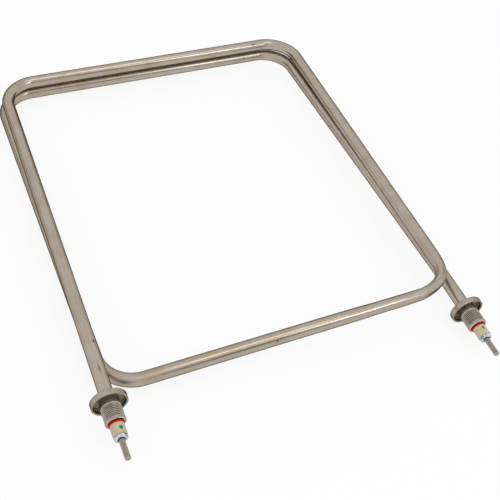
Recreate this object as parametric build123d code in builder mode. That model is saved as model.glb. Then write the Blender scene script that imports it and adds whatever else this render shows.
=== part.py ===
from build123d import *
import math
import os

os.makedirs("parts", exist_ok=True)

# Sheath tube
tube_diameter = 10.0
tube_wall = 0.8

# Two turns of the tube, measured between tube axes
loop_width = 269.0
loop_depth = 316.0
bend_radius = 27.0
turn_gap = 1.3
lower_turn_front_shift = 2.8
lower_turn_rear_shift = 4.0
front_rail_skew = 1.0
terminal_spread = 5.0
leg_set_radius = 300.0
leg_set_margin = 10.0
rail_to_flange = 13.8
right_leg_extra = 1.5

# Stop flange, a cup pressed from sheet
flange_diameter = 25.0
flange_depth = 4.5
flange_floor = 1.5
flange_lip = 1.3
flange_back_round = 0.9
flange_edge_break = 0.3

# Threaded bushing, M14 x 1.25 outside
thread_diameter = 14.0
thread_length = 11.3
neck_diameter = 13.4
neck_length = 5.2
point_length = 1.0
point_chamfer = 0.7

# Silicone seal in the mouth of the tube
seal_diameter = 11.0
seal_height = 1.2
seal_plug_length = 4.0

# Steatite bead
bead_diameter = 9.7
bead_length = 8.3
bead_chamfer = 0.35

# Thin hexagon nut
nut_across_flats = 8.0
nut_thickness = 2.5
nut_face_diameter = 7.6
nut_chamfer_angle = 30.0
nut_countersink_diameter = 5.2
nut_countersink_angle = 90.0

# Terminal stud with a rolled M4 thread on its free end, and its cold end inside the tube
stud_diameter = 4.0
stud_shank_diameter = 3.5
stud_reach = 14.2
stud_thread_standoff = 0.4
stud_chamfer = 0.5
cold_length = 40.0
weld_pin_diameter = 2.6
weld_pin_length = 6.0

# Resistance coil, as the rod that its turns fill
coil_diameter = 4.5

# Clearances on the radius
solder_gap = 0.05
bead_clearance = 0.2
seal_gap = 0.05
nut_gap = 0.05
fill_gap = 0.02

# Radii, levels and sides: the lower flange stands on the origin's level
tube_radius = tube_diameter / 2
bore_radius = tube_radius - tube_wall
flange_radius = flange_diameter / 2
lip_radius = flange_radius - flange_lip
lower_z = flange_radius
upper_z = lower_z + tube_diameter + turn_gap
terminal_spacing = loop_width + terminal_spread
left_x = -terminal_spacing / 2
right_x = terminal_spacing / 2

# Stations along a terminal, outwards from the front rail, or on the right from its leg's extra length
flange_back_at = rail_to_flange
flange_floor_at = flange_back_at + flange_floor
flange_edge_at = flange_back_at + flange_depth
thread_at = flange_floor_at + neck_length
point_at = thread_at + thread_length
tube_end_at = point_at + point_length
bead_at = tube_end_at + seal_height
nut_at = bead_at + bead_length
nut_face_at = nut_at + nut_thickness
stud_thread_at = nut_face_at + stud_thread_standoff
stud_tip_at = nut_face_at + stud_reach
plug_end_at = tube_end_at - seal_plug_length
cold_end_at = tube_end_at - cold_length
weld_end_at = cold_end_at - weld_pin_length
leg_straight_to = weld_end_at - leg_set_margin

sides = {"left": (left_x, upper_z), "right": (right_x, lower_z)}
leg_extra = {"left": 0.0, "right": right_leg_extra}

# The origin is halfway between the further stud tip and the back of the rear rail
front_reach = stud_tip_at + max(leg_extra.values())
overall_depth = front_reach + loop_depth + tube_radius
front_rail_y = front_reach - overall_depth / 2
rear_rail_y = front_rail_y + loop_depth


def station_y(side, distance):
    """The y of a station on one terminal."""
    return front_rail_y - leg_extra[side] - distance


def terminal_plane(side, distance=0.0):
    """A plane across one terminal, with z outwards along it and y upwards."""
    x, z = sides[side]
    return Plane(origin=(x, station_y(side, distance), z), x_dir=(1, 0, 0), z_dir=(0, -1, 0))


def profile_plane(side):
    """A plane through one terminal's axis: x is the radius, y the station."""
    x, z = sides[side]
    return Plane(origin=(x, station_y(side, 0), z), x_dir=(1, 0, 0), z_dir=(0, 0, -1))


def terminal_axis(side):
    x, z = sides[side]
    return Axis(origin=(x, front_rail_y, z), direction=(0, -1, 0))


def element_path(end_at):
    """The tube's axis, with both ends at the station end_at: straight runs and tangent arcs.

    The right leg stays straight over its stud and weld pin, and takes a gentle set behind them."""
    rail_x = left_x + loop_width
    front_left_x = left_x + lower_turn_front_shift
    rear_left_x = left_x - lower_turn_rear_shift
    rear_right_x = rear_left_x + loop_width
    straight_y = station_y("right", leg_straight_to)
    set_turn = math.atan2(abs(right_x - rear_right_x), rear_rail_y - straight_y)
    set_y = straight_y + leg_set_radius * math.tan(set_turn / 2)
    with BuildLine() as line:
        FilletPolyline(
            (left_x, station_y("left", end_at), upper_z),
            (left_x, rear_rail_y, upper_z),
            (rail_x, rear_rail_y, upper_z),
            (rail_x, front_rail_y - front_rail_skew, upper_z),
            (front_left_x, front_rail_y, lower_z),
            (rear_left_x, rear_rail_y, lower_z),
            (rear_right_x, rear_rail_y, lower_z),
            (right_x, set_y, lower_z),
            (right_x, station_y("right", end_at), lower_z),
            radius=[bend_radius] * 6 + [leg_set_radius],
        )
    return line.line


with BuildPart() as sheath_tube:
    sheath_axis = element_path(tube_end_at)
    with BuildSketch(Plane(origin=sheath_axis @ 0, z_dir=sheath_axis % 0)):
        Circle(tube_radius)
        Circle(bore_radius, mode=Mode.SUBTRACT)
    sweep(path=sheath_axis)
sheath_tube.part.label = "sheath_tube"
export_step(sheath_tube.part, "parts/sheath_tube.step")


with BuildPart() as resistance_coil:
    coil_axis = element_path(cold_end_at)
    with BuildSketch(Plane(origin=coil_axis @ 0, z_dir=coil_axis % 0)):
        Circle(coil_diameter / 2)
    sweep(path=coil_axis)
    for side in sides:
        with BuildSketch(terminal_plane(side, weld_end_at)):
            Circle(weld_pin_diameter / 2 + fill_gap)
        extrude(amount=weld_pin_length, mode=Mode.SUBTRACT)
resistance_coil.part.label = "resistance_coil"
export_step(resistance_coil.part, "parts/resistance_coil.step")


with BuildPart() as magnesia_filling:
    filling_axis = element_path(plug_end_at)
    with BuildSketch(Plane(origin=filling_axis @ 0, z_dir=filling_axis % 0)):
        Circle(bore_radius - fill_gap)
    sweep(path=filling_axis)
    with BuildSketch(Plane(origin=coil_axis @ 0, z_dir=coil_axis % 0)):
        Circle(coil_diameter / 2 + fill_gap)
    sweep(path=coil_axis, mode=Mode.SUBTRACT)
    for side in sides:
        with BuildSketch(terminal_plane(side, cold_end_at)):
            Circle(stud_shank_diameter / 2 + fill_gap)
        extrude(amount=plug_end_at - cold_end_at, mode=Mode.SUBTRACT)
magnesia_filling.part.label = "magnesia_filling"
export_step(magnesia_filling.part, "parts/magnesia_filling.step")


for side in sides:
    with BuildPart() as flange:
        with BuildSketch(profile_plane(side)) as flange_section:
            with BuildLine():
                Polyline(
                    (neck_diameter / 2 + solder_gap, flange_back_at),
                    (flange_radius, flange_back_at),
                    (flange_radius, flange_edge_at),
                    (lip_radius, flange_edge_at),
                    (lip_radius, flange_floor_at),
                    (neck_diameter / 2 + solder_gap, flange_floor_at),
                    close=True,
                )
            make_face()
            rim_corners = flange_section.vertices().group_by(Axis.Y)[-1]
            chamfer(rim_corners, flange_edge_break)
            back_corner = flange_section.vertices().group_by(Axis.Y)[0].sort_by(Axis.X)[-1]
            fillet(back_corner, flange_back_round)
        revolve(axis=terminal_axis(side))
    flange.part.label = f"{side}_flange"
    export_step(flange.part, f"parts/{side}_flange.step")


for side in sides:
    with BuildPart() as bushing:
        with BuildSketch(profile_plane(side)):
            with BuildLine():
                Polyline(
                    (tube_radius + solder_gap, flange_back_at),
                    (neck_diameter / 2, flange_back_at),
                    (neck_diameter / 2, thread_at - (thread_diameter - neck_diameter) / 2),
                    (thread_diameter / 2, thread_at),
                    (thread_diameter / 2, tube_end_at - point_chamfer),
                    (thread_diameter / 2 - point_chamfer, tube_end_at),
                    (tube_radius + solder_gap, tube_end_at),
                    close=True,
                )
            make_face()
        revolve(axis=terminal_axis(side))
    bushing.part.label = f"{side}_bushing"
    export_step(bushing.part, f"parts/{side}_bushing.step")


for side in sides:
    with BuildPart() as seal:
        with BuildSketch(terminal_plane(side, plug_end_at)):
            Circle(bore_radius - seal_gap)
        extrude(amount=seal_plug_length)
        with BuildSketch(terminal_plane(side, tube_end_at)):
            Circle(seal_diameter / 2)
        extrude(amount=seal_height)
        with Locations(terminal_plane(side, bead_at)):
            Hole(stud_shank_diameter / 2 + seal_gap)
    seal.part.label = f"{side}_seal"
    export_step(seal.part, f"parts/{side}_seal.step")


for side in sides:
    with BuildPart() as insulator:
        with BuildSketch(terminal_plane(side, bead_at)):
            Circle(bead_diameter / 2)
        extrude(amount=bead_length)
        chamfer(insulator.edges().filter_by(GeomType.CIRCLE), bead_chamfer)
        with Locations(terminal_plane(side, nut_at)):
            Hole(stud_shank_diameter / 2 + bead_clearance)
    insulator.part.label = f"{side}_insulator"
    export_step(insulator.part, f"parts/{side}_insulator.step")


# The nut's thread is cut to the stud's shank, the size at which a rolled thread meets its nut
nut_corner_radius = nut_across_flats / math.sqrt(3)
nut_chamfer_height = (nut_corner_radius - nut_face_diameter / 2) * math.tan(math.radians(nut_chamfer_angle))
for side in sides:
    with BuildPart() as nut:
        with BuildSketch(terminal_plane(side, nut_at)):
            RegularPolygon(nut_across_flats / 2, side_count=6, major_radius=False)
        extrude(amount=nut_thickness)
        with BuildSketch(profile_plane(side)):
            with BuildLine():
                Polyline(
                    (0, nut_at),
                    (nut_face_diameter / 2, nut_at),
                    (nut_corner_radius, nut_at + nut_chamfer_height),
                    (nut_corner_radius, nut_face_at - nut_chamfer_height),
                    (nut_face_diameter / 2, nut_face_at),
                    (0, nut_face_at),
                    close=True,
                )
            make_face()
        revolve(axis=terminal_axis(side), mode=Mode.INTERSECT)
        with Locations(terminal_plane(side, nut_face_at)):
            CounterSinkHole(
                stud_shank_diameter / 2 + nut_gap,
                nut_countersink_diameter / 2,
                counter_sink_angle=nut_countersink_angle,
            )
    nut.part.label = f"{side}_nut"
    export_step(nut.part, f"parts/{side}_nut.step")


for side in sides:
    with BuildPart() as stud:
        with BuildSketch(terminal_plane(side, stud_thread_at)):
            Circle(stud_diameter / 2)
        extrude(amount=stud_tip_at - stud_thread_at)
        chamfer(stud.faces().sort_by(Axis.Y)[0].edges(), stud_chamfer)
        with BuildSketch(terminal_plane(side, cold_end_at)):
            Circle(stud_shank_diameter / 2)
        extrude(amount=stud_thread_at - cold_end_at)
        with BuildSketch(terminal_plane(side, weld_end_at)):
            Circle(weld_pin_diameter / 2)
        extrude(amount=weld_pin_length)
    stud.part.label = f"{side}_stud"
    export_step(stud.part, f"parts/{side}_stud.step")
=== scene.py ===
import math

import bmesh
import bpy
import numpy as np
from mathutils import Matrix, Vector


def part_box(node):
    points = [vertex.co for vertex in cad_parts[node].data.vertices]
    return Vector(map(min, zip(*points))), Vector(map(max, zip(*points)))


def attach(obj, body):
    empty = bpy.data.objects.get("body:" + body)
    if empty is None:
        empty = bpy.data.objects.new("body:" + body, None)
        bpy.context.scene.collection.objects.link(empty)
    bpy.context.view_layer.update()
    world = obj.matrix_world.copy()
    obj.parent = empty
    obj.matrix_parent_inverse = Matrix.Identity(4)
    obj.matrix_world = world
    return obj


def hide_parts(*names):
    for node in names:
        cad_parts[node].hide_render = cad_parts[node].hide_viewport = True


# A tubular heating element. Places and boxes come from the solids, small relief and looks from here.

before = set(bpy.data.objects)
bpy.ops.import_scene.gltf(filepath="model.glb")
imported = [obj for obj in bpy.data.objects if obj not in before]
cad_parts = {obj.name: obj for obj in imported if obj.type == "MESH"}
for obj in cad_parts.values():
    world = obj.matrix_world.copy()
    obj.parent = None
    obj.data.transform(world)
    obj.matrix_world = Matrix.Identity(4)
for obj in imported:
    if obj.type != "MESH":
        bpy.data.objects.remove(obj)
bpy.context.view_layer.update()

MM = 0.001

# Sheath tube, as the solids have it
TUBE_RADIUS = 5.0 * MM
BORE_RADIUS = 4.2 * MM
BEND_RADIUS = 27.0 * MM
TERMINAL_SPREAD = 5.0 * MM
LOWER_TURN_FRONT_SHIFT = 2.8 * MM
LOWER_TURN_REAR_SHIFT = 4.0 * MM
FRONT_RAIL_SKEW = 1.0 * MM
RAIL_TO_FLANGE = 13.8 * MM
LEG_SET_RADIUS = 300.0 * MM
LEG_STRAIGHT_BEHIND_RAIL = 23.2 * MM
# The front bends' drawn metal: how much rougher it is, and how far that fades into the runs
MATT_ROUGHNESS = 0.16
MATT_FADE = 22.0 * MM

# Filling: its hole's radius round the coil, its gaps, and the length of the step in its hole
COIL_RADIUS = 2.25 * MM
FILL_GAP = 0.02 * MM
HOLE_STEP = 0.01 * MM

# How finely meshes are divided
TUBE_SIDES = 96
TURNED_SIDES = 96
FLANGE_SIDES = 144
STUD_SIDES = 64
BEAD_ROWS = 10
SEAL_ROWS = 12
RUN_STEP = 8.0 * MM
BEND_STEP = 1.9 * MM
BORE_RUN_STEP = 60.0 * MM
BORE_BEND_STEP = 4.0 * MM
FINE_STEP = 0.6 * MM
SHARP_ANGLE = math.radians(38.0)

# Bushing, with an M14 x 1.25 thread and a neck behind it whose colour is painted lighter
THREAD_RADIUS = 7.0 * MM
THREAD_DEPTH = 0.72 * MM
THREAD_PITCH = 1.25 * MM
THREAD_LENGTH = 11.3 * MM
NECK_RADIUS = 6.7 * MM
# How much lighter the neck's colour is painted
NECK_PAINTED_LIGHT = 0.5
SOLDER_GAP = 0.05 * MM
POINT_LENGTH = 1.0 * MM
POINT_CHAMFER = 0.7 * MM
ROWS_PER_PITCH = 14

# Stud, with an M4 thread
STUD_RADIUS = 2.0 * MM
SHANK_RADIUS = 1.75 * MM
STUD_THREAD_DEPTH = 0.3 * MM
STUD_PITCH = 0.7 * MM
STUD_CHAMFER = 0.5 * MM
STUD_STANDOFF = 0.4 * MM
AXIS_HOLE = 0.01 * MM
WELD_PIN_RADIUS = 1.3 * MM
WELD_PIN_LENGTH = 6.0 * MM

# Flange
FLANGE_FLOOR = 1.5 * MM
FLANGE_LIP = 1.3 * MM
FLANGE_BACK_ROUND = 0.9 * MM
FLANGE_EDGE_ROUND = 0.3 * MM
FLANGE_PRESS_ROUND = 0.5 * MM

# Seal, bead and nut
SEAL_HEIGHT = 1.2 * MM
SEAL_BULGE = 0.28 * MM
SEAL_GAP = 0.05 * MM
# The rows between which the painted shade at the seal's edge by the bushing fades out
SEAL_PAINTED_SHADE_ROWS = (3, 5)
BEAD_EDGE_ROUND = 0.35 * MM
BEAD_CLEARANCE = 0.2 * MM
NUT_FACE_RADIUS = 3.8 * MM
NUT_GAP = 0.05 * MM
NUT_COUNTERSINK_RADIUS = 2.6 * MM
NUT_CHAMFER = math.radians(30.0)
NUT_EDGE_SOFTNESS = 0.12 * MM
NUT_EDGE_DROP = 0.3 * NUT_EDGE_SOFTNESS
NUT_CORNER_POWER = 8
NUT_STEPS_PER_FLAT = 12

# Camera, solved from the photo
CAMERA_PLACE = Vector((-205.38, -434.92, 509.71)) * MM
CAMERA_YAW = 0.49099
CAMERA_PITCH = 0.84313
CAMERA_ROLL = 0.14199
CAMERA_LENS = 62.2
CAMERA_SENSOR = 36.0


def middle(node):
    low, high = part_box(node)
    return (low + high) / 2


def half_width(node, axis):
    low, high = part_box(node)
    return (high[axis] - low[axis]) / 2


class Terminal:
    """One terminal leg: its axis, and the y of the faces on it, from the solids' boxes."""

    def __init__(self, side):
        self.x, self.z = middle(f"{side}_stud").x, middle(f"{side}_stud").z
        self.flange_edge, self.flange_back = self.ends(f"{side}_flange")
        self.tube_end = self.ends(f"{side}_bushing")[0]
        self.plug_end = self.ends(f"{side}_seal")[1]
        self.nut, self.bead = self.ends(f"{side}_insulator")
        self.nut_face = self.ends(f"{side}_nut")[0]
        self.stud_tip, self.stud_end = self.ends(f"{side}_stud")

    def ends(self, node):
        low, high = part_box(node)
        return low.y, high.y


TERMINALS = {"left": Terminal("left"), "right": Terminal("right")}
left, right = TERMINALS["left"], TERMINALS["right"]
front_rail_y = left.flange_back + RAIL_TO_FLANGE
rear_rail_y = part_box("sheath_tube")[1].y - TUBE_RADIUS
flange_radius = half_width("left_flange", 0)
bead_radius = half_width("left_insulator", 0)
seal_radius = half_width("left_seal", 0)
nut_flat_radius = half_width("left_nut", 2)


def add_object(name, vertices, faces):
    mesh = bpy.data.meshes.new(name)
    mesh.from_pydata(vertices, [], faces)
    mesh.validate()
    obj = bpy.data.objects.new(name, mesh)
    bpy.context.scene.collection.objects.link(obj)
    return obj


def finish_piece(obj, node, material):
    """Smooths a piece that stands for a CAD node, gives it its material and puts it on the body."""
    mesh = obj.data
    mesh.polygons.foreach_set("use_smooth", [True] * len(mesh.polygons))
    mesh.set_sharp_from_angle(angle=SHARP_ANGLE)
    mesh.materials.append(material)
    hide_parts(node)
    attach(obj, "root")
    return obj


def add_float(mesh, name, values):
    attribute = mesh.attributes.new(name, "FLOAT", "POINT")
    attribute.data.foreach_set("value", np.asarray(values, dtype=np.float32))


# The sheath's route: straight runs joined by tangent arcs


def element_corners():
    """Where the straight runs would meet, from the left terminal round to the right one."""
    rail_x = right.x - TERMINAL_SPREAD
    loop_width = rail_x - left.x
    rear_left_x = left.x - LOWER_TURN_REAR_SHIFT
    rear_right_x = rear_left_x + loop_width
    straight_y = right.flange_back + RAIL_TO_FLANGE + LEG_STRAIGHT_BEHIND_RAIL
    set_turn = math.atan2(abs(right.x - rear_right_x), rear_rail_y - straight_y)
    set_y = straight_y + LEG_SET_RADIUS * math.tan(set_turn / 2)
    return [
        Vector((left.x, left.tube_end, left.z)),
        Vector((left.x, rear_rail_y, left.z)),
        Vector((rail_x, rear_rail_y, left.z)),
        Vector((rail_x, front_rail_y - FRONT_RAIL_SKEW, left.z)),
        Vector((left.x + LOWER_TURN_FRONT_SHIFT, front_rail_y, right.z)),
        Vector((rear_left_x, rear_rail_y, right.z)),
        Vector((rear_right_x, rear_rail_y, right.z)),
        Vector((right.x, set_y, right.z)),
        Vector((right.x, right.tube_end, right.z)),
    ]


def element_parts():
    """Runs and arcs in turn: (length, start, direction, axis, radius), a run's axis being None."""
    corners = element_corners()
    radii = [BEND_RADIUS] * 6 + [LEG_SET_RADIUS]
    parts, start = [], corners[0]
    for before, corner, after, radius in zip(corners, corners[1:], corners[2:], radii):
        way_in, way_out = (corner - before).normalized(), (after - corner).normalized()
        turn = way_in.angle(way_out)
        cut = radius * math.tan(turn / 2)
        arc_start = corner - way_in * cut
        parts.append(((arc_start - start).length, start, way_in, None, 0.0))
        parts.append((radius * turn, arc_start, way_in, way_in.cross(way_out).normalized(), radius))
        start = corner + way_out * cut
    parts.append(((corners[-1] - start).length, start, way_out, None, 0.0))
    return parts


def place_on(part, distance):
    """The point and direction at a distance along a run or an arc."""
    _, start, way, axis, radius = part
    if axis is None:
        return start + way * distance, way
    spin = Matrix.Rotation(distance / radius, 3, axis)
    centre = start + axis.cross(way) * radius
    return centre + spin @ (start - centre), spin @ way


def ring_distances(parts, run_step, bend_step, zones=(), zone_step=FINE_STEP):
    """Where the rings stand along the sheath: evenly in each part, and closely in the fine zones."""
    places, begin = [], 0.0
    for length, _, _, axis, _ in parts:
        count = math.ceil(length / (run_step if axis is None else bend_step))
        places += [begin + length * step / count for step in range(count)]
        begin += length
    places.append(begin)
    for first, last in zones:
        places = [place for place in places if not first - zone_step < place < last + zone_step]
        places += list(np.linspace(first, last, math.ceil((last - first) / zone_step)))
    return sorted(places)


def element_frames(parts, distances):
    """Centres, directions and upward normals of the rings; normals are carried along without twist."""
    points, directions, normals = [], [], []
    part, begin = 0, 0.0
    normal, before = Vector((0, 0, 1)), parts[0][2]
    for distance in distances:
        while part < len(parts) - 1 and distance > begin + parts[part][0]:
            begin += parts[part][0]
            part += 1
        point, way = place_on(parts[part], distance - begin)
        normal = before.rotation_difference(way) @ normal
        normal = (normal - way * normal.dot(way)).normalized()
        points.append(point)
        directions.append(way)
        normals.append(normal.copy())
        before = way
    return np.array(points), np.array(directions), np.array(normals)


TURNS = np.arange(TUBE_SIDES) * 2 * math.pi / TUBE_SIDES


def ring_points(parts, distances, radii, shifted=True):
    """Rings of points round the axis; turn 0 is up, and a quarter turn points into the loop."""
    centres, directions, normals = element_frames(parts, distances)
    across = np.cross(directions, normals)
    if shifted:
        centres = centres + across * eased(distances, PRESS_AT, PRESS_SHIFT) * MM
    upward = normals[:, None, :] * np.cos(TURNS)[None, :, None]
    sideways = across[:, None, :] * np.sin(TURNS)[None, :, None]
    return centres[:, None, :] + (upward + sideways) * radii[:, :, None]


# Marks: distance along the sheath and turn round it, half length, half width round it, depth
NICKS = [
    (40.2 * MM, math.radians(5.0), 3.2 * MM, 0.5 * MM, 0.34 * MM),
    (63.1 * MM, math.radians(38.0), 1.1 * MM, 0.7 * MM, 0.55 * MM),
    (572.4 * MM, math.radians(33.0), 2.2 * MM, 0.6 * MM, 0.4 * MM),
    (1045.1 * MM, math.radians(-50.0), 0.9 * MM, 0.7 * MM, 0.6 * MM),
]
# How far a nick goes on, in half lengths
NICK_REACH = 2.4
# The front right bend is squeezed: places along the sheath (mm), how much narrower it is there, and
# how far its axis moves inwards (mm)
PRESS_AT = (884.0, 892.0, 899.0, 904.0, 908.0, 913.0, 919.0, 926.0, 934.0, 942.0, 966.0, 978.0)
PRESS_NARROW = (0.0, 0.12, 0.17, 0.17, 0.18, 0.20, 0.22, 0.15, 0.11, 0.09, 0.08, 0.0)
PRESS_SHIFT = (0.0, -0.5, -0.85, -0.7, -0.2, 0.4, 0.8, 0.35, 0.12, 0.0, 0.0, 0.0)
# How much lower it is, from the bend on along the front rail
LOW_AT = (922.0, 938.0, 962.0, 980.0, 995.0)
LOW_SHARE = (0.0, 0.05, 0.07, 0.04, 0.0)
# The bending tool left a flat on its top: places along the sheath (mm), turns (degrees), depths (mm)
FLAT_AT = (880.0, 890.0, 904.0, 911.0, 918.0, 926.0, 934.0, 946.0)
FLAT_TURNS = (-38.0, -37.0, -35.0, -28.0, -15.0, -10.0, -8.0, -8.0)
FLAT_DEPTHS = (0.0, 0.33, 0.55, 0.72, 0.75, 0.55, 0.2, 0.0)
FLAT_EDGE_SHARPNESS = 9.0
FLAT_LEAST_SLOPE = 0.3
PRESSED_ZONES = [(FLAT_AT[0] * MM, LOW_AT[-1] * MM)]
# The crease is the inner edge of that flat
CREASE_AT = (886.0, 890.0, 899.0, 904.6, 911.1, 918.2, 925.6, 932.0)
CREASE_TURNS = (-17.0, -15.5, -10.1, -5.8, 4.1, 17.4, 21.4, 23.0)
CREASE_HALF_WIDTH, CREASE_DEPTH = 0.4 * MM, 0.18 * MM
# Flat and crease come in over the first quarter of their depth or length
COME_IN = 4
# A squeezed shape is averaged over these offsets along the sheath (mm)
EASE_OFFSETS = (-3.0, -1.5, 0.0, 1.5, 3.0)


def smooth(value):
    value = np.clip(value, 0.0, 1.0)
    return value * value * (3 - 2 * value)


def turn_away(turn):
    """How far each point of a ring is turned from the given turn, up to half a turn either way."""
    return (TURNS[None, :] - turn + math.pi) % (2 * math.pi) - math.pi


def mark_depths(distances):
    """How deep the nicks and the crease are, for each ring and turn."""
    along = np.array(distances)[:, None]
    depth = np.zeros((len(distances), TUBE_SIDES))
    for place, turn, half_length, half_breadth, deep in NICKS:
        away = turn_away(turn) * TUBE_RADIUS
        depth += deep * np.exp(-((along - place) / half_length) ** 2 - (away / half_breadth) ** 2)
    turn = np.radians(np.interp(along, np.array(CREASE_AT) * MM, CREASE_TURNS))
    share = (along / MM - CREASE_AT[0]) / (CREASE_AT[-1] - CREASE_AT[0])
    fade = smooth(share * COME_IN) * smooth((1 - share) * COME_IN)
    away = turn_away(turn) * TUBE_RADIUS
    return depth + CREASE_DEPTH * fade * np.exp(-(away / CREASE_HALF_WIDTH) ** 2)


def eased(distances, places, values):
    """Values at each ring between those at the places (mm), with the steps smoothed out."""
    along = np.array(distances)[:, None] / MM
    near = [np.interp(along + aside, places, values) for aside in EASE_OFFSETS]
    return sum(near) / len(near)


def pressed_radii(distances, radius):
    """Round, but squeezed and flattened in the front right bend."""
    narrow = 1 - eased(distances, PRESS_AT, PRESS_NARROW)
    low = 1 - eased(distances, LOW_AT, LOW_SHARE)
    spread = np.sqrt((narrow * np.cos(TURNS)) ** 2 + (low * np.sin(TURNS)) ** 2)
    oval = TUBE_RADIUS * narrow * low / spread
    slope = np.cos(TURNS[None, :] - np.radians(eased(distances, FLAT_AT, FLAT_TURNS)))
    depth = eased(distances, FLAT_AT, FLAT_DEPTHS)
    flat = (TUBE_RADIUS - depth * MM) / np.maximum(slope, FLAT_LEAST_SLOPE)
    cut = FLAT_EDGE_SHARPNESS
    soft = (oval ** -cut + flat ** -cut) ** (-1 / cut)
    blend = smooth(depth / max(FLAT_DEPTHS) * COME_IN)
    return (oval * (1 - blend) + soft * blend) * radius / TUBE_RADIUS


def fine_zones():
    """Where small marks need more of the mesh."""
    zones = [(place - NICK_REACH * half, place + NICK_REACH * half) for place, _, half, _, _ in NICKS]
    return zones + PRESSED_ZONES


def drawn_share(parts, distances):
    """1 in the front bends, where the metal was drawn and is matt, fading out along the runs."""
    places = np.array(distances)
    share = np.zeros(len(places))
    start = 0.0
    for length, corner, _, axis, _ in parts:
        if axis is not None and corner.y < 0:
            away = np.maximum(np.maximum(start - places, places - start - length), 0)
            share = np.maximum(share, 1 - np.minimum(away / MATT_FADE, 1))
        start += length
    return share


def add_shell(name, outer, inner):
    """A tube between outer and inner rings, closed at both ends."""
    vertices = np.concatenate([outer.reshape(-1, 3), inner.reshape(-1, 3)])
    first_inner = len(outer) * TUBE_SIDES
    faces = tube_faces(len(outer), 0, False) + tube_faces(len(inner), first_inner, True)
    faces += mouth_faces(0, first_inner, True)
    faces += mouth_faces(first_inner - TUBE_SIDES, first_inner + (len(inner) - 1) * TUBE_SIDES, False)
    return add_object(name, vertices.tolist(), faces)


def make_sheath(material):
    parts = element_parts()
    distances = ring_distances(parts, RUN_STEP, BEND_STEP, fine_zones())
    outer = ring_points(parts, distances, pressed_radii(distances, TUBE_RADIUS) - mark_depths(distances))
    bore_distances = ring_distances(parts, BORE_RUN_STEP, BORE_BEND_STEP, PRESSED_ZONES, BORE_BEND_STEP)
    bore = ring_points(parts, bore_distances, pressed_radii(bore_distances, BORE_RADIUS))
    obj = add_shell("sheath", outer, bore)
    mesh = obj.data
    add_float(mesh, "along", np.repeat(distances + bore_distances, TUBE_SIDES))
    turns = np.tile(TURNS, len(outer) + len(bore))
    add_float(mesh, "around_cos", np.cos(turns))
    add_float(mesh, "around_sin", np.sin(turns))
    # How dark the painted shade is in the nicks and the crease
    marks = np.clip(mark_depths(distances) / CREASE_DEPTH / 2, 0, 1).ravel()
    add_float(mesh, "painted_dent_shade", np.concatenate([marks, np.zeros(len(bore) * TUBE_SIDES)]))
    drawn = [drawn_share(parts, distances), drawn_share(parts, bore_distances)]
    add_float(mesh, "drawn", np.repeat(np.concatenate(drawn), TUBE_SIDES))
    return finish_piece(obj, "sheath_tube", material)


def filling_hole(parts, distances, cold_end):
    """The hole for the coil, and for the thinner studs up to the cold ends."""
    places = np.array(distances)
    last = places[-1] - cold_end
    hole = np.where((places < cold_end) | (places > last), SHANK_RADIUS, COIL_RADIUS) + FILL_GAP
    radii = np.repeat(hole[:, None], TUBE_SIDES, axis=1)
    return ring_points(parts, distances, radii, shifted=False)


def make_filling(material):
    """The magnesia between coil and sheath, pressed along with the sheath."""
    parts = element_parts()
    inset = left.plug_end - left.tube_end
    cold_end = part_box("resistance_coil")[0].y - right.tube_end
    distances = ring_distances(parts, BORE_RUN_STEP, BORE_BEND_STEP, PRESSED_ZONES, BORE_BEND_STEP)
    total = distances[-1]
    steps = [inset, cold_end - HOLE_STEP, cold_end]
    steps += [total - cold_end, total - cold_end + HOLE_STEP, total - inset]
    distances = sorted([place for place in distances if inset < place < total - inset] + steps)
    outer = ring_points(parts, distances, pressed_radii(distances, BORE_RADIUS - FILL_GAP))
    hole = filling_hole(parts, distances, cold_end)
    obj = add_shell("filling", outer, hole)
    return finish_piece(obj, "magnesia_filling", material)


def tube_faces(rings, first, inside):
    """Faces between rings that follow each other, the first point's number being first."""
    faces = []
    for ring in range(rings - 1):
        for side in range(TUBE_SIDES):
            a = first + ring * TUBE_SIDES + side
            b = first + ring * TUBE_SIDES + (side + 1) % TUBE_SIDES
            face = (a, a + TUBE_SIDES, b + TUBE_SIDES, b)
            faces.append(face if inside else face[::-1])
    return faces


def mouth_faces(outer, bore, start):
    """Faces between an outer and an inner ring at the tube's start or end."""
    faces = []
    for side in range(TUBE_SIDES):
        after = (side + 1) % TUBE_SIDES
        face = (outer + side, bore + side, bore + after, outer + after)
        faces.append(face[::-1] if start else face)
    return faces


# Turned pieces: a closed section of (radius, y, crest) rows, spun round a terminal's axis


def make_turned(name, node, material, side, rows, swell=None, sides=TURNED_SIDES):
    """Spins (radius, y, crest) rows. crest is a thread's depth, and swell its height from 0 to 1.

    Without a thread, crest is 1 where painted shade darkens the colour, as in a recess; below 0 it marks
    where the colour is painted lighter.
    """
    end = TERMINALS[side]
    vertices, crests = [], []
    for radius, y, crest in rows:
        for step in range(sides):
            turn = 2 * math.pi * step / sides
            height = swell(turn, y) if swell and crest > 0 else 1.0 - min(crest, 0)
            reach = radius - (1.0 - height) * max(crest, 0)
            vertices.append((end.x + reach * math.cos(turn), y, end.z + reach * math.sin(turn)))
            crests.append(height if swell else 1.0 - crest)
    obj = add_object(name, vertices, closed_faces(len(rows), sides))
    recalculate_normals(obj)
    add_float(obj.data, "crest", crests)
    return finish_piece(obj, node, material)


def closed_faces(rows, sides):
    """Faces of a body whose last row joins its first."""
    faces = []
    for row in range(rows):
        below, above = row * sides, (row + 1) % rows * sides
        for step in range(sides):
            after = (step + 1) % sides
            faces.append((below + step, below + after, above + after, above + step))
    return faces


def recalculate_normals(obj):
    shell = bmesh.new()
    shell.from_mesh(obj.data)
    bmesh.ops.recalc_face_normals(shell, faces=shell.faces)
    shell.to_mesh(obj.data)
    shell.free()


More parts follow.
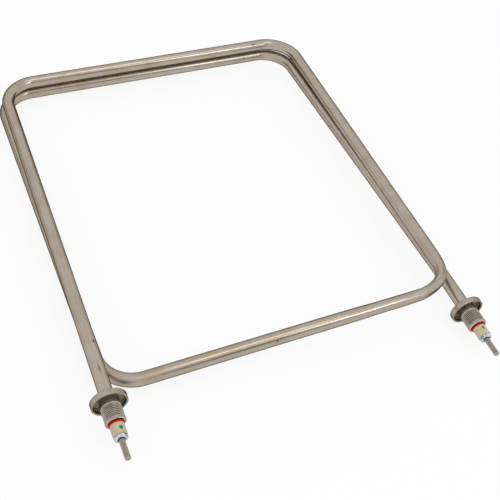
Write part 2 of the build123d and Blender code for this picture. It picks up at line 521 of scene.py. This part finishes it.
def arc_rows(centre_radius, centre_y, round_radius, start, end, steps=6):
    """Rows along a quarter round; start and end are angles from outwards towards -y."""
    rows = []
    for step in range(steps + 1):
        turn = math.radians(start + (end - start) * step / steps)
        reach = round_radius * math.cos(turn)
        rows.append((centre_radius + reach, centre_y - round_radius * math.sin(turn), 0))
    return rows


def thread_swell(pitch, first_y, last_y):
    """A right-hand thread's height at a turn and a y, from 0 in its root to 1 on its crest."""
    def swell(turn, y):
        wave = 0.5 - 0.5 * math.cos(2 * math.pi * y / pitch + turn)
        fade = min(1.0, max(0.0, (first_y - y) / pitch), max(0.0, (y - last_y) / pitch))
        return 1.0 - (1.0 - wave) * fade
    return swell


def thread_rows(radius, depth, pitch, first_y, last_y):
    """Rows close enough for a thread's profile, its depth being their crest."""
    count = math.ceil((first_y - last_y) / pitch * ROWS_PER_PITCH)
    return [(radius, first_y + (last_y - first_y) * row / count, depth) for row in range(1, count)]


def make_bushing(side, material):
    end = TERMINALS[side]
    bore = TUBE_RADIUS + SOLDER_GAP
    thread_end = end.tube_end + POINT_LENGTH
    thread_start = thread_end + THREAD_LENGTH
    shoulder = THREAD_RADIUS - NECK_RADIUS
    rows = [(bore, end.flange_back, 0), (NECK_RADIUS, end.flange_back, -NECK_PAINTED_LIGHT)]
    rows += [(NECK_RADIUS, thread_start + shoulder, -NECK_PAINTED_LIGHT), (THREAD_RADIUS, thread_start, 0)]
    rows += thread_rows(THREAD_RADIUS, THREAD_DEPTH, THREAD_PITCH, thread_start, thread_end)
    rows += [(THREAD_RADIUS, thread_end, 0), (THREAD_RADIUS, end.tube_end + POINT_CHAMFER, 0)]
    rows += [(THREAD_RADIUS - POINT_CHAMFER, end.tube_end, 0), (bore, end.tube_end, 0)]
    swell = thread_swell(THREAD_PITCH, thread_start, thread_end)
    name = f"{side}_threaded_bushing"
    make_turned(name, f"{side}_bushing", material, side, rows, swell)


def make_flange(side, material):
    end = TERMINALS[side]
    hole = NECK_RADIUS + SOLDER_GAP
    lip = flange_radius - FLANGE_LIP
    floor_y = end.flange_back - FLANGE_FLOOR
    back, edge, press = FLANGE_BACK_ROUND, FLANGE_EDGE_ROUND, FLANGE_PRESS_ROUND
    rows = [(hole, end.flange_back, 0)]
    rows += arc_rows(flange_radius - back, end.flange_back - back, back, -90, 0)
    rows += arc_rows(flange_radius - edge, end.flange_edge + edge, edge, 0, 90)
    rows += arc_rows(lip + edge, end.flange_edge + edge, edge, 90, 180)
    corner = arc_rows(lip - press, floor_y - press, press, -90, 0)
    rows += [(radius, y, 1) for radius, y, _ in reversed(corner)]
    rows += [(hole, floor_y, 1)]
    name = f"{side}_cup_flange"
    make_turned(name, f"{side}_flange", material, side, rows, sides=FLANGE_SIDES)


def make_seal(side, material):
    end = TERMINALS[side]
    hole = SHANK_RADIUS + SEAL_GAP
    plug = BORE_RADIUS - SEAL_GAP
    face = seal_radius - SEAL_BULGE
    rows = [(hole, end.plug_end, 0), (plug, end.plug_end, 0), (plug, end.tube_end, 0)]
    rows += [(face, end.tube_end, 1)]
    for step in range(1, SEAL_ROWS):
        turn = math.pi * step / SEAL_ROWS
        y = end.tube_end - SEAL_HEIGHT * (1 - math.cos(turn)) / 2
        # Painted shade where the seal meets the bushing
        seal_painted_shade = float(np.interp(step, SEAL_PAINTED_SHADE_ROWS, (1, 0)))
        rows.append((face + SEAL_BULGE * math.sin(turn), y, seal_painted_shade))
    rows += [(face, end.bead, 0), (hole, end.bead, 0)]
    make_turned(f"{side}_squeezed_seal", f"{side}_seal", material, side, rows)


def make_bead(side, material):
    end = TERMINALS[side]
    hole = SHANK_RADIUS + BEAD_CLEARANCE
    edge = BEAD_EDGE_ROUND
    rows = [(hole, end.bead, 0)]
    rows += arc_rows(bead_radius - edge, end.bead - edge, edge, -90, 0)
    first, last = end.bead - edge, end.nut + edge
    rows += [(bead_radius, first + (last - first) * row / BEAD_ROWS, 0) for row in range(1, BEAD_ROWS)]
    rows += arc_rows(bead_radius - edge, end.nut + edge, edge, 0, 90)
    rows += [(hole, end.nut, 0)]
    make_turned(f"{side}_bead", f"{side}_insulator", material, side, rows)


def make_stud(side, material):
    end = TERMINALS[side]
    thread_start = end.nut_face - STUD_STANDOFF
    thread_end = end.stud_tip + STUD_CHAMFER
    cold_end = end.stud_end - WELD_PIN_LENGTH
    rows = [(AXIS_HOLE, end.stud_end, 0), (WELD_PIN_RADIUS, end.stud_end, 0)]
    rows += [(WELD_PIN_RADIUS, cold_end, 0), (SHANK_RADIUS, cold_end, 0)]
    rows += [(SHANK_RADIUS, thread_start, 0), (STUD_RADIUS, thread_start, 0)]
    rows += thread_rows(STUD_RADIUS, STUD_THREAD_DEPTH, STUD_PITCH, thread_start, thread_end)
    rows += [(STUD_RADIUS, thread_end, 0), (STUD_RADIUS - STUD_CHAMFER, end.stud_tip, 0)]
    rows += [(AXIS_HOLE, end.stud_tip, 0)]
    swell = thread_swell(STUD_PITCH, thread_start, thread_end)
    name = f"{side}_threaded_stud"
    make_turned(name, f"{side}_stud", material, side, rows, swell, STUD_SIDES)


def nut_section(end, from_flat):
    """The nut's section at a turn from the middle of a flat: both faces chamfered by a cone."""
    hole = SHANK_RADIUS + NUT_GAP
    soft = NUT_EDGE_SOFTNESS
    hexagon = nut_flat_radius / math.cos(from_flat)
    hexagon -= soft * (abs(from_flat) / (math.pi / 6)) ** NUT_CORNER_POWER
    drop = NUT_EDGE_DROP + max(0.0, hexagon - NUT_FACE_RADIUS) * math.tan(NUT_CHAMFER)
    sink = NUT_COUNTERSINK_RADIUS - hole
    back, face = end.nut, end.nut_face
    return [
        (hole, back, 1), (NUT_FACE_RADIUS - soft, back, 1), (NUT_FACE_RADIUS, back - NUT_EDGE_DROP, 1),
        (hexagon, back - drop, 1), (hexagon, face + drop, 1),
        (NUT_FACE_RADIUS, face + NUT_EDGE_DROP, 1), (NUT_FACE_RADIUS - soft, face, 1),
        (NUT_COUNTERSINK_RADIUS + soft, face, 1), (NUT_COUNTERSINK_RADIUS - soft, face + 2 * soft, 0),
        (hole, face + sink + soft, 0),
    ]


def make_nut(side, material):
    """A hexagon with softened edges and a countersunk hole."""
    end = TERMINALS[side]
    sides = 6 * NUT_STEPS_PER_FLAT
    sixth = math.pi / 3
    columns = []
    for step in range(sides):
        turn = 2 * math.pi * step / sides
        from_flat = (turn + math.pi / 2 + sixth / 2) % sixth - sixth / 2
        columns.append([
            (end.x + radius * math.cos(turn), y, end.z + radius * math.sin(turn), crest)
            for radius, y, crest in nut_section(end, from_flat)
        ])
    rows = list(zip(*columns))
    points = [point for row in rows for point in row]
    obj = add_object(f"{side}_hex_nut", [point[:3] for point in points], closed_faces(len(rows), sides))
    recalculate_normals(obj)
    add_float(obj.data, "crest", [point[3] for point in points])
    finish_piece(obj, f"{side}_nut", material)


# Materials


def new_material(name):
    material = bpy.data.materials.new(name)
    material.use_nodes = True
    nodes = material.node_tree.nodes
    return material, nodes, material.node_tree.links, nodes["Principled BSDF"]


def object_place(nodes):
    return nodes.new("ShaderNodeTexCoord").outputs["Object"]


def scaled(nodes, links, vector, scale):
    mapping = nodes.new("ShaderNodeMapping")
    mapping.inputs["Scale"].default_value = scale
    links.new(vector, mapping.inputs["Vector"])
    return mapping.outputs["Vector"]


def noise(nodes, links, vector, scale, detail=3.0, roughness=0.55):
    texture = nodes.new("ShaderNodeTexNoise")
    texture.inputs["Scale"].default_value = scale
    texture.inputs["Detail"].default_value = detail
    texture.inputs["Roughness"].default_value = roughness
    links.new(vector, texture.inputs["Vector"])
    return texture.outputs["Fac"]


def ramp(nodes, links, value, stops):
    """A colour for each value: stops are (position, (red, green, blue))."""
    node = nodes.new("ShaderNodeValToRGB")
    elements = node.color_ramp.elements
    while len(elements) < len(stops):
        elements.new(0.5)
    for element, (position, colour) in zip(elements, stops):
        element.position = position
        element.color = (*colour, 1.0)
    links.new(value, node.inputs["Fac"])
    return node.outputs["Color"]


def span(nodes, links, value, low, high, to_low, to_high):
    node = nodes.new("ShaderNodeMapRange")
    node.inputs["From Min"].default_value = low
    node.inputs["From Max"].default_value = high
    node.inputs["To Min"].default_value = to_low
    node.inputs["To Max"].default_value = to_high
    links.new(value, node.inputs["Value"])
    return node.outputs["Result"]


def feed(links, value, target):
    """Links a socket, or sets a plain value."""
    if isinstance(value, bpy.types.NodeSocket):
        links.new(value, target)
    else:
        target.default_value = value


def calculated(nodes, links, operation, first, second):
    node = nodes.new("ShaderNodeMath")
    node.operation = operation
    feed(links, first, node.inputs[0])
    feed(links, second, node.inputs[1])
    return node.outputs[0]


def mixed(nodes, links, share, first, second, blend="MIX"):
    node = nodes.new("ShaderNodeMix")
    node.data_type = "RGBA"
    node.blend_type = blend
    for value, socket in ((share, "Factor"), (first, "A"), (second, "B")):
        feed(links, value, next(s for s in node.inputs if s.name == socket and s.enabled))
    return next(s for s in node.outputs if s.enabled)


def bumped(nodes, links, height, strength, distance, shader):
    node = nodes.new("ShaderNodeBump")
    node.inputs["Strength"].default_value = strength
    node.inputs["Distance"].default_value = distance
    links.new(height, node.inputs["Height"])
    links.new(node.outputs["Normal"], shader.inputs["Normal"])


def attribute(nodes, name):
    node = nodes.new("ShaderNodeAttribute")
    node.attribute_name = name
    return node.outputs["Fac"]


def multiplied(nodes, links, first, second):
    return mixed(nodes, links, 1.0, first, second, "MULTIPLY")


EDGE_BROWN = (0.03, 0.015, 0.0, 1.0)


def steel(name, dark, light, roughness, edge_tint=EDGE_BROWN):
    """Satin steel, mottled and finely scratched, in two tones."""
    material, nodes, links, shader = new_material(name)
    place = object_place(nodes)
    mottle = noise(nodes, links, place, 180.0, 4.0)
    grain = noise(nodes, links, place, 2600.0, 2.0)
    tone = ramp(nodes, links, mottle, [(0.35, dark), (0.65, light)])
    tone = multiplied(nodes, links, tone, span(nodes, links, grain, 0.3, 0.7, 0.9, 1.08))
    links.new(tone, shader.inputs["Base Color"])
    rough = span(nodes, links, grain, 0.25, 0.75, roughness - 0.05, roughness + 0.07)
    links.new(rough, shader.inputs["Roughness"])
    shader.inputs["Metallic"].default_value = 1.0
    shader.inputs["Specular Tint"].default_value = edge_tint
    bumped(nodes, links, grain, 0.2, 0.03 * MM, shader)
    return material, nodes, links, shader, tone


def sheath_material():
    """Drawn and annealed stainless: streaks along the tube, warm stains, fine specks, matt front bends,
    and painted shade in the nicks and the crease.
    """
    material, nodes, links, shader = new_material("sheath_steel")
    place = object_place(nodes)
    join = nodes.new("ShaderNodeCombineXYZ")
    for name, socket in (("around_cos", "X"), ("around_sin", "Y"), ("along", "Z")):
        links.new(attribute(nodes, name), join.inputs[socket])
    around = join.outputs["Vector"]
    streaks = noise(nodes, links, scaled(nodes, links, around, (7.0, 7.0, 12.0)), 1.0, 4.0, 0.6)
    fine = noise(nodes, links, scaled(nodes, links, around, (38.0, 38.0, 70.0)), 1.0, 3.0)
    mottle = noise(nodes, links, place, 70.0, 5.0)
    grain = noise(nodes, links, place, 3000.0, 2.0)
    tone = ramp(nodes, links, mottle, [
        (0.34, (0.42, 0.352, 0.277)), (0.5, (0.455, 0.391, 0.32)), (0.68, (0.475, 0.42, 0.362)),
    ])
    tone = multiplied(nodes, links, tone, span(nodes, links, streaks, 0.3, 0.7, 0.9, 1.08))
    tone = multiplied(nodes, links, tone, span(nodes, links, grain, 0.3, 0.7, 0.95, 1.04))
    # Painted shade in the nicks and the crease
    tone = multiplied(nodes, links, tone, span(nodes, links, attribute(nodes, "painted_dent_shade"), 0, 1, 1.0, 0.15))
    links.new(tone, shader.inputs["Base Color"])
    rough = span(nodes, links, streaks, 0.25, 0.75, 0.20, 0.28)
    matt = span(nodes, links, attribute(nodes, "drawn"), 0, 1, 0, MATT_ROUGHNESS)
    links.new(calculated(nodes, links, "ADD", rough, matt), shader.inputs["Roughness"])
    shader.inputs["Metallic"].default_value = 1.0
    shader.inputs["Specular Tint"].default_value = EDGE_BROWN
    bumped(nodes, links, fine, 0.10, 0.04 * MM, shader)
    return material


def bushing_material():
    """Turned steel with painted shade in its thread's roots, painted highlights on its crests, and its
    neck painted lighter.
    """
    made = steel("bushing_steel", (0.36, 0.315, 0.265), (0.43, 0.385, 0.335), 0.34)
    material, nodes, links, shader, tone = made
    # Painted shade in the thread's roots, painted highlights on its crests and painted light on the neck
    crest = span(nodes, links, attribute(nodes, "crest"), 0.0, 1.0 + NECK_PAINTED_LIGHT, 0.0, 1.0)
    shade = ramp(nodes, links, crest, [
        (0.0, (0.5, 0.48, 0.46)), (0.33, (1.06, 1.04, 1.03)), (0.64, (1.45, 1.43, 1.42)),
        (0.7, (1.25, 1.25, 1.25)), (1.0, (1.9, 1.9, 1.9)),
    ])
    links.new(multiplied(nodes, links, tone, shade), shader.inputs["Base Color"])
    return material


def stud_material():
    made = steel("stud_steel", (0.42, 0.365, 0.30), (0.50, 0.445, 0.38), 0.34)
    material, nodes, links, shader, tone = made
    # Painted shade in the thread's roots
    shade = span(nodes, links, attribute(nodes, "crest"), 0.0, 1.0, 0.75, 1.05)
    links.new(multiplied(nodes, links, tone, shade), shader.inputs["Base Color"])
    return material


def flange_material():
    """Pressed steel with brownish stains, and painted shade darkening the recess."""
    made = steel("flange_steel", (0.38, 0.335, 0.28), (0.46, 0.415, 0.355), 0.36)
    material, nodes, links, shader, tone = made
    stains = noise(nodes, links, object_place(nodes), 230.0, 4.0)
    share = span(nodes, links, stains, 0.56, 0.7, 0.0, 0.55)
    tone = mixed(nodes, links, share, tone, (0.33, 0.24, 0.14, 1.0))
    # Painted shade darkening the recess
    recess = ramp(nodes, links, attribute(nodes, "crest"), [
        (0.0, (0.62, 0.58, 0.56)), (0.98, (1.0, 1.0, 1.0)),
    ])
    links.new(multiplied(nodes, links, tone, recess), shader.inputs["Base Color"])
    return material


def zinc_material():
    edge = (0.25, 0.27, 0.3, 1.0)
    made = steel("zinc_plate", (0.56, 0.65, 0.74), (0.74, 0.80, 0.86), 0.16, edge)
    material, nodes, links, shader, tone = made
    # Painted shade in the countersink and the hole round the stud
    tone = multiplied(nodes, links, tone, span(nodes, links, attribute(nodes, "crest"), 0, 1, 0.15, 1.0))
    worn = noise(nodes, links, object_place(nodes), 800.0, 3.0, 0.7)
    marks = ramp(nodes, links, worn, [(0.38, (0.42, 0.45, 0.5)), (0.5, (1.0, 1.0, 1.0))])
    links.new(multiplied(nodes, links, tone, marks), shader.inputs["Base Color"])
    return material


def silicone_material():
    material, nodes, links, shader = new_material("red_silicone")
    mottle = noise(nodes, links, object_place(nodes), 900.0, 3.0)
    tone = ramp(nodes, links, mottle, [(0.3, (0.36, 0.006, 0.002)), (0.7, (0.50, 0.012, 0.003))])
    # Painted shade, darkest at the seal's edge by the bushing
    edge = span(nodes, links, attribute(nodes, "crest"), 0.0, 1.0, 0.12, 1.0)
    tone = multiplied(nodes, links, tone, edge)
    links.new(tone, shader.inputs["Base Color"])
    shader.inputs["Roughness"].default_value = 0.5
    shader.inputs["Specular IOR Level"].default_value = 0.08
    bumped(nodes, links, mottle, 0.2, 0.05 * MM, shader)
    return material


def steatite_material():
    """Unglazed pressed ceramic: warm and finely grained."""
    material, nodes, links, shader = new_material("steatite")
    place = object_place(nodes)
    mottle = noise(nodes, links, place, 260.0, 4.0)
    grain = noise(nodes, links, place, 4200.0, 2.0)
    tone = ramp(nodes, links, mottle, [(0.3, (0.52, 0.425, 0.275)), (0.7, (0.62, 0.52, 0.36))])
    tone = multiplied(nodes, links, tone, span(nodes, links, grain, 0.3, 0.7, 0.92, 1.05))
    links.new(tone, shader.inputs["Base Color"])
    shader.inputs["Roughness"].default_value = 0.6
    shader.inputs["Specular IOR Level"].default_value = 0.3
    bumped(nodes, links, grain, 0.35, 0.05 * MM, shader)
    return material


def paint_material():
    material, nodes, links, shader = new_material("green_paint")
    mottle = noise(nodes, links, object_place(nodes), 1500.0, 2.0)
    tone = ramp(nodes, links, mottle, [(0.3, (0.001, 0.20, 0.075)), (0.7, (0.004, 0.28, 0.115))])
    links.new(tone, shader.inputs["Base Color"])
    shader.inputs["Roughness"].default_value = 0.4
    shader.inputs["Specular IOR Level"].default_value = 0.1
    bumped(nodes, links, mottle, 0.3, 0.1 * MM, shader)
    return material


def wire_material():
    return steel("resistance_wire", (0.2, 0.19, 0.18), (0.32, 0.31, 0.3), 0.4)[0]


def magnesia_material():
    material, nodes, links, shader = new_material("magnesia")
    mottle = noise(nodes, links, object_place(nodes), 700.0, 5.0)
    tone = ramp(nodes, links, mottle, [(0.3, (0.70, 0.68, 0.63)), (0.7, (0.84, 0.82, 0.78))])
    links.new(tone, shader.inputs["Base Color"])
    shader.inputs["Roughness"].default_value = 0.9
    bumped(nodes, links, mottle, 0.5, 0.2 * MM, shader)
    return material


def dress_node(node, material):
    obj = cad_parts[node]
    obj.data.materials.clear()
    obj.data.materials.append(material)


# Paint dots on the beads: turn from straight up towards +x, distance from the seal, width, length
DOTS = {
    "left": (math.radians(20.0), 4.5 * MM, 2.8 * MM, 2.7 * MM),
    "right": (math.radians(2.0), 3.2 * MM, 1.9 * MM, 2.5 * MM),
}
DOT_THICKNESS = 0.08 * MM
DOT_ROOT = -0.02 * MM
DOT_RINGS, DOT_STEPS = 8, 40
DOT_WAVER = ((3, 0.7, 0.05), (5, 0.0, 0.03))


def dot_point(side, share, spoke, lift):
    """A point of the dot, wrapped round the bead; its outline wavers a little."""
    end = TERMINALS[side]
    turn, distance, width, length = DOTS[side]
    wobble = 1 + sum(size * math.sin(waves * spoke + shift) for waves, shift, size in DOT_WAVER)
    angle = turn + share * width / 2 * wobble * math.cos(spoke) / bead_radius
    y = end.bead - distance + share * length / 2 * wobble * math.sin(spoke)
    radius = bead_radius + lift
    return (end.x + radius * math.sin(angle), y, end.z + radius * math.cos(angle))


def make_dot(side, material):
    """A drop of paint that follows the bead's round and thins out at its rim."""
    vertices = []
    for top in (True, False):
        for ring in range(1, DOT_RINGS + 1):
            share = ring / DOT_RINGS
            lift = DOT_THICKNESS * math.sqrt(1 - share ** 3) if top else DOT_ROOT
            spokes = [2 * math.pi * step / DOT_STEPS for step in range(DOT_STEPS)]
            vertices += [dot_point(side, share, spoke, lift) for spoke in spokes]
    vertices += [dot_point(side, 0.0, 0.0, DOT_THICKNESS), dot_point(side, 0.0, 0.0, DOT_ROOT)]
    faces = []
    for skin in range(2):
        first = skin * DOT_RINGS * DOT_STEPS
        hub = 2 * DOT_RINGS * DOT_STEPS + skin
        for step in range(DOT_STEPS):
            after = (step + 1) % DOT_STEPS
            faces.append((hub, first + step, first + after))
            for ring in range(DOT_RINGS - 1):
                a, b = first + ring * DOT_STEPS, first + (ring + 1) * DOT_STEPS
                faces.append((a + step, b + step, b + after, a + after))
    top, under = (DOT_RINGS - 1) * DOT_STEPS, (2 * DOT_RINGS - 1) * DOT_STEPS
    for step in range(DOT_STEPS):
        after = (step + 1) % DOT_STEPS
        faces.append((top + step, under + step, under + after, top + after))
    obj = add_object(f"{side}_paint_dot", vertices, faces)
    recalculate_normals(obj)
    obj.data.polygons.foreach_set("use_smooth", [True] * len(obj.data.polygons))
    obj.data.materials.append(material)
    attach(obj, "root")


# Camera, floor and light


def make_camera():
    data = bpy.data.cameras.new("camera")
    data.sensor_width = CAMERA_SENSOR
    data.lens = CAMERA_LENS
    data.clip_start = 0.01
    camera = bpy.data.objects.new("camera", data)
    bpy.context.scene.collection.objects.link(camera)
    turn = (
        Matrix.Rotation(-CAMERA_YAW, 4, "Z")
        @ Matrix.Rotation(math.pi / 2 - CAMERA_PITCH, 4, "X")
        @ Matrix.Rotation(CAMERA_ROLL, 4, "Z")
    )
    camera.matrix_world = Matrix.Translation(CAMERA_PLACE) @ turn
    bpy.context.scene.camera = camera


FLOOR_HALF = 6.0
FLOOR_COLOUR = (0.9, 0.9, 0.9, 1.0)
FLOOR_LIFT = 0.86


def floor_corners():
    """The floor touches the right flange, the front left bend and the rear left bend."""
    drop = right.z - TUBE_RADIUS
    flange_foot = Vector((right.x, right.flange_edge, right.z - flange_radius))
    front_foot = Vector((left.x + LOWER_TURN_FRONT_SHIFT, front_rail_y + BEND_RADIUS, drop))
    rear_foot = Vector((left.x - LOWER_TURN_REAR_SHIFT, rear_rail_y - BEND_RADIUS, drop))
    normal = (front_foot - flange_foot).cross(rear_foot - flange_foot)
    corners = []
    for x, y in ((-1, -1), (1, -1), (1, 1), (-1, 1)):
        corner = Vector((x * FLOOR_HALF, y * FLOOR_HALF, flange_foot.z))
        corner.z -= (corner - flange_foot).dot(normal) / normal.z
        corners.append(corner)
    return corners


def make_floor():
    """A pale floor that looks white to the camera and in metal, and keeps the object's shadow."""
    floor = add_object("floor", floor_corners(), [(0, 1, 2, 3)])
    material, nodes, links, shader = new_material("floor")
    shader.inputs["Base Color"].default_value = FLOOR_COLOUR
    shader.inputs["Roughness"].default_value = 0.9
    shader.inputs["Specular IOR Level"].default_value = 0.1
    white = nodes.new("ShaderNodeEmission")
    white.inputs["Strength"].default_value = 1.0
    path = nodes.new("ShaderNodeLightPath")
    seen = path.outputs["Is Camera Ray"]
    for ray in ("Is Glossy Ray", "Is Transmission Ray"):
        seen = calculated(nodes, links, "MAXIMUM", seen, path.outputs[ray])
    lift = calculated(nodes, links, "MULTIPLY", seen, FLOOR_LIFT)
    both = nodes.new("ShaderNodeMixShader")
    links.new(lift, both.inputs["Fac"])
    links.new(shader.outputs["BSDF"], both.inputs[1])
    links.new(white.outputs["Emission"], both.inputs[2])
    links.new(both.outputs["Shader"], nodes["Material Output"].inputs["Surface"])
    floor.data.materials.append(material)


# Soft boxes: centre and size in metres, brightness, colour; the size is first across the way from
# the object to the lamp, then along it
SOFT_BOXES = {
    "overhead_box": ((0.68, -0.40, 3.8), (1.3, 0.8), 1.5, (1.0, 0.96, 0.68)),
    "window_box": ((0.53, -0.81, 1.05), (0.17, 0.36), 5.6, (0.72, 0.86, 1.0)),
}
# Matte studio cards: directions they span from +y towards +x, low and high edge, distance, colour
CARDS = {
    "rear_card": (-50.0, 45.0, 0.02, 0.45, 3.0, (0.14, 0.10, 0.07, 1.0)),
    "front_card": (160.0, 176.0, 0.45, 1.30, 1.3, (0.13, 0.15, 0.185, 1.0)),
}
SOFT_BOX_WATTS = 4.0
CARD_STEPS = 24
SKY = (0.93, 0.93, 0.93, 1.0)


def make_soft_box(name):
    """A rectangular lamp that faces the object's middle."""
    centre, size, brightness, colour = SOFT_BOXES[name]
    data = bpy.data.lights.new(name, "AREA")
    data.shape = "RECTANGLE"
    data.size, data.size_y = size
    data.energy = SOFT_BOX_WATTS * size[0] * size[1] * brightness
    data.color = colour
    light = bpy.data.objects.new(name, data)
    bpy.context.scene.collection.objects.link(light)
    light.location = centre
    facing = Vector((0.0, 0.0, right.z)) - light.location
    light.rotation_euler = facing.to_track_quat("-Z", "Y").to_euler()


def make_card(name):
    """A standing curved card that the camera doesn't see, as a studio uses for darker reflections in
    metal.
    """
    first, last, low, high, away, colour = CARDS[name]
    vertices, faces = [], []
    for step in range(CARD_STEPS + 1):
        turn = math.radians(first + (last - first) * step / CARD_STEPS)
        for z in (low, high):
            vertices.append((away * math.sin(turn), away * math.cos(turn), z))
        if step:
            faces.append((2 * step - 2, 2 * step - 1, 2 * step + 1, 2 * step))
    card = add_object(name, vertices, faces)
    material, nodes, links, shader = new_material(name)
    shader.inputs["Base Color"].default_value = colour
    shader.inputs["Roughness"].default_value = 1.0
    shader.inputs["Specular IOR Level"].default_value = 0.0
    card.data.materials.append(material)
    card.visible_camera = False


def make_world():
    world = bpy.data.worlds.new("studio")
    bpy.context.scene.world = world
    world.use_nodes = True
    background = world.node_tree.nodes["Background"]
    background.inputs["Color"].default_value = SKY
    background.inputs["Strength"].default_value = 1.0


make_camera()
make_sheath(sheath_material())
bushing_steel, stud_steel, flange_steel = bushing_material(), stud_material(), flange_material()
zinc, silicone = zinc_material(), silicone_material()
steatite, paint = steatite_material(), paint_material()
for side in TERMINALS:
    make_flange(side, flange_steel)
    make_bushing(side, bushing_steel)
    make_seal(side, silicone)
    make_bead(side, steatite)
    make_nut(side, zinc)
    make_stud(side, stud_steel)
    make_dot(side, paint)
dress_node("resistance_coil", wire_material())
make_filling(magnesia_material())
make_floor()
make_world()
for name in SOFT_BOXES:
    make_soft_box(name)
for name in CARDS:
    make_card(name)

bpy.context.scene.view_settings.view_transform = "Standard"
